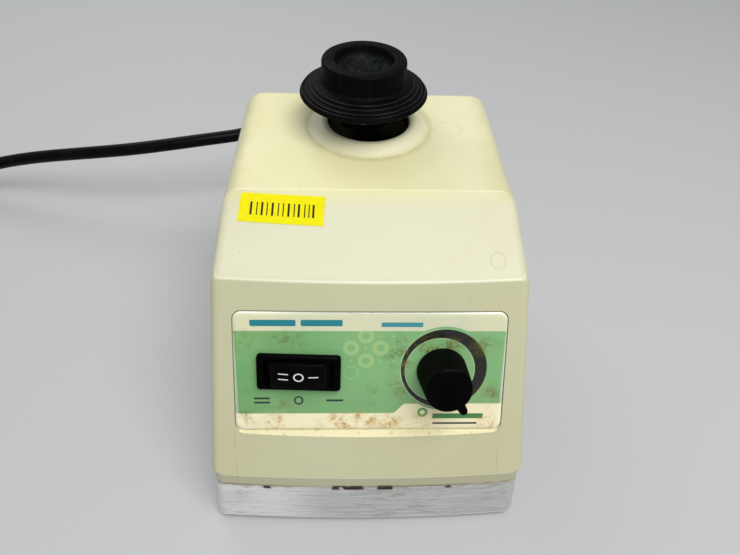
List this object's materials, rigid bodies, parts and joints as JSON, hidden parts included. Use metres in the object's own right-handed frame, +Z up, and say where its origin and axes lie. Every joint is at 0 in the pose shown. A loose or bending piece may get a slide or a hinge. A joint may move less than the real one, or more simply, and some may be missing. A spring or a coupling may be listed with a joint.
{
  "type": "vortex mixer",
  "caption": "Bench vortex mixer: weighted base, wedge-shaped housing with rocker switch and speed knob, rubber cup that orbits on a crank pin, sprung motor plate, mains cord with plug.",
  "frame": {"origin": "on the bench under the feet, at the middle of the box round the mixer without its mains cord", "axes": "-Y is the front, with the control face, switch and knob; +X is to the right seen from the front; +Z is up along the drive shaft"},
  "size_m": [0.4649, 0.2365, 0.151],
  "materials": {
    "cream_abs": "satin, slightly aged",
    "grey_paint": "scuffed satin paint",
    "green_label": "glossy printed label",
    "black_plastic": "semi-gloss",
    "black_rubber": "matte",
    "black_pvc": "flexible, semi-gloss",
    "steel": "plain",
    "lamination_iron": "stacked sheet",
    "aluminium": "as cast",
    "copper_winding": "enamelled copper wire",
    "brass": "plain",
    "circuit_board": "solder mask",
    "fuse_glass": "clear",
    "capacitor_film": "dipped"
  },
  "bodies": {
    "base": {"base_plate": "grey_paint", "foot_front_left": "black_rubber", "foot_front_right": "black_rubber", "foot_rear_left": "black_rubber", "foot_rear_right": "black_rubber", "housing": "cream_abs", "housing_screw_front_left": "steel", "housing_screw_front_right": "steel", "housing_screw_rear_left": "steel", "housing_screw_rear_right": "steel", "panel_label": "green_label", "switch_body": "black_plastic", "potentiometer": "aluminium", "potentiometer_nut": "steel", "circuit_board": "circuit_board", "heat_sink": "aluminium", "triac": "black_plastic", "capacitor": "capacitor_film", "touch_switch": "black_plastic", "guide_post_front_left": "steel", "guide_post_front_right": "steel", "guide_post_rear_left": "steel", "guide_post_rear_right": "steel", "motor_spring_front_left": "steel", "motor_spring_front_right": "steel", "motor_spring_rear_left": "steel", "motor_spring_rear_right": "steel", "fuse_holder": "black_plastic", "cord_gland": "black_pvc", "power_cord": "black_pvc", "cord_coil": "black_pvc", "plug": "black_pvc", "plug_pin_left": "brass", "plug_pin_right": "brass"},
    "motor_unit": {"motor_plate": "steel", "stator_core": "lamination_iron", "field_coil": "copper_winding", "lower_bracket": "aluminium", "upper_bracket": "aluminium", "lower_bearing": "steel", "upper_bearing": "steel", "motor_bolt_left": "steel", "motor_bolt_right": "steel"},
    "rotor": {"motor_shaft": "steel", "rotor_core": "lamination_iron", "cooling_fan": "black_plastic", "counterweight": "steel", "crank_pin": "steel"},
    "cup": {"cup_bearing_lower": "steel", "cup_bearing_upper": "steel", "cup_hub": "black_plastic", "hub_set_screw": "steel", "rubber_cup": "black_rubber"},
    "rocker": {"rocker": "black_plastic"},
    "knob": {"speed_knob": "black_plastic", "potentiometer_shaft": "brass"},
    "lever": {"touch_lever": "steel"},
    "fuse_cap": {"fuse_cap": "black_plastic", "fuse": "fuse_glass"}
  },
  "joints": [
    {"name": "head_press", "type": "slide", "parent": "base", "child": "motor_unit", "axis": [0, 0, 1], "range_m": [-0.0025, 0], "stiffness_N_per_m": 3500, "springref_m": 0.0045, "deforming": ["motor_spring_front_left", "motor_spring_front_right", "motor_spring_rear_left", "motor_spring_rear_right"]},
    {"name": "drive_spin", "type": "hinge", "parent": "motor_unit", "child": "rotor", "pos_m": [0, 0.0389, 0.075], "axis": [0, 0, 1], "continuous": true},
    {"name": "cup_orbit", "type": "hinge", "parent": "rotor", "child": "cup", "pos_m": [-0.0024, 0.0389, 0.128], "axis": [0, 0, 1], "continuous": true},
    {"name": "power_rock", "type": "hinge", "parent": "base", "child": "rocker", "pos_m": [-0.02636, -0.05949, 0.07654], "axis": [0.0156, 0.4526, 0.8916], "range_deg": [-11, 11]},
    {"name": "speed_turn", "type": "hinge", "parent": "base", "child": "knob", "pos_m": [0.0266, -0.06055, 0.07708], "axis": [0.0309, -0.8911, 0.4528], "range_deg": [0, 294]},
    {"name": "lever_flex", "type": "hinge", "parent": "base", "child": "lever", "pos_m": [0, -0.0304, 0.0409], "axis": [1, 0, 0], "range_deg": [-6, 0]},
    {"name": "fuse_cap_turn", "type": "hinge", "parent": "base", "child": "fuse_cap", "pos_m": [0.042, 0.07337, 0.063], "axis": [0, 0.9983, 0.058], "range_deg": [0, 90]}
  ],
  "couplings": [
    {"joint": "cup_orbit", "follows": "drive_spin", "ratio": -1},
    {"joint": "lever_flex", "follows": "head_press", "rad_per_m": 40}
  ]
}
